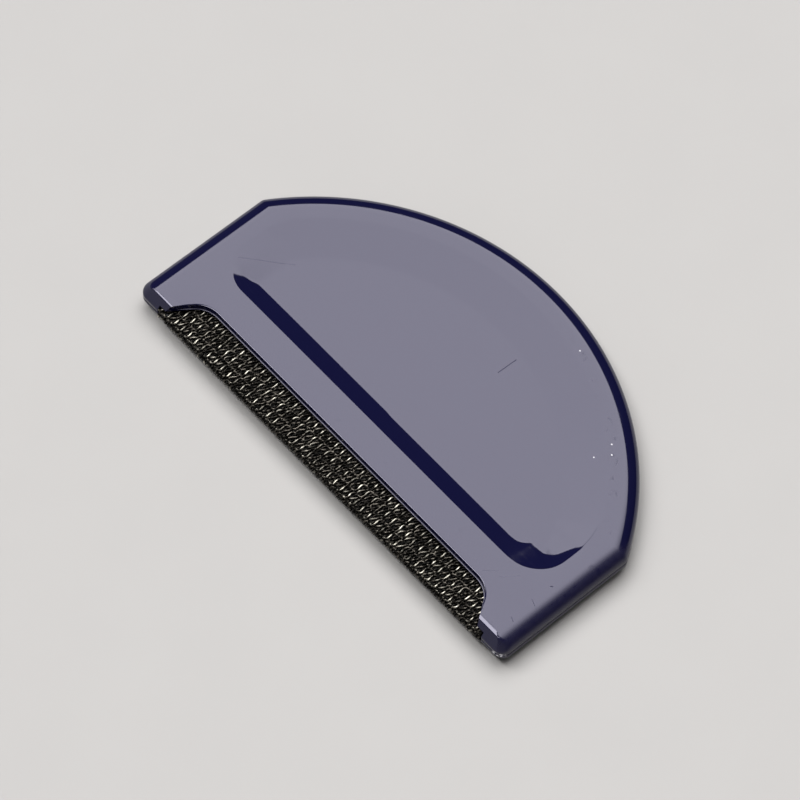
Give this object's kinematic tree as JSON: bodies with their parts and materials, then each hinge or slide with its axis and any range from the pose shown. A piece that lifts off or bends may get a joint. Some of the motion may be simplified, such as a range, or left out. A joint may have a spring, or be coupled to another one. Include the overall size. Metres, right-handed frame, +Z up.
{
  "type": "sweater comb",
  "caption": "Flat D-shaped sweater comb: two moulded halves with a thumb recess on each face grip a folded strip of knitted wire that lifts pills and lint from knitwear.",
  "frame": {"origin": "on the surface that the comb lies on, under the middle of its bounding box", "axes": "+X along the wire edge, +Y from the wire edge to the round back, +Z up, through the thickness"},
  "size_m": [0.08, 0.047, 0.0052],
  "materials": {
    "shell_plastic": "gloss navy, lightly scratched",
    "core_plastic": "as moulded, dark grey",
    "mesh_wire": "blackened knitted wire with bright glints"
  },
  "bodies": {
    "root": {"top_shell": "shell_plastic", "bottom_shell": "shell_plastic", "mesh_core": "core_plastic", "wire_mesh": "mesh_wire"}
  },
  "joints": []
}
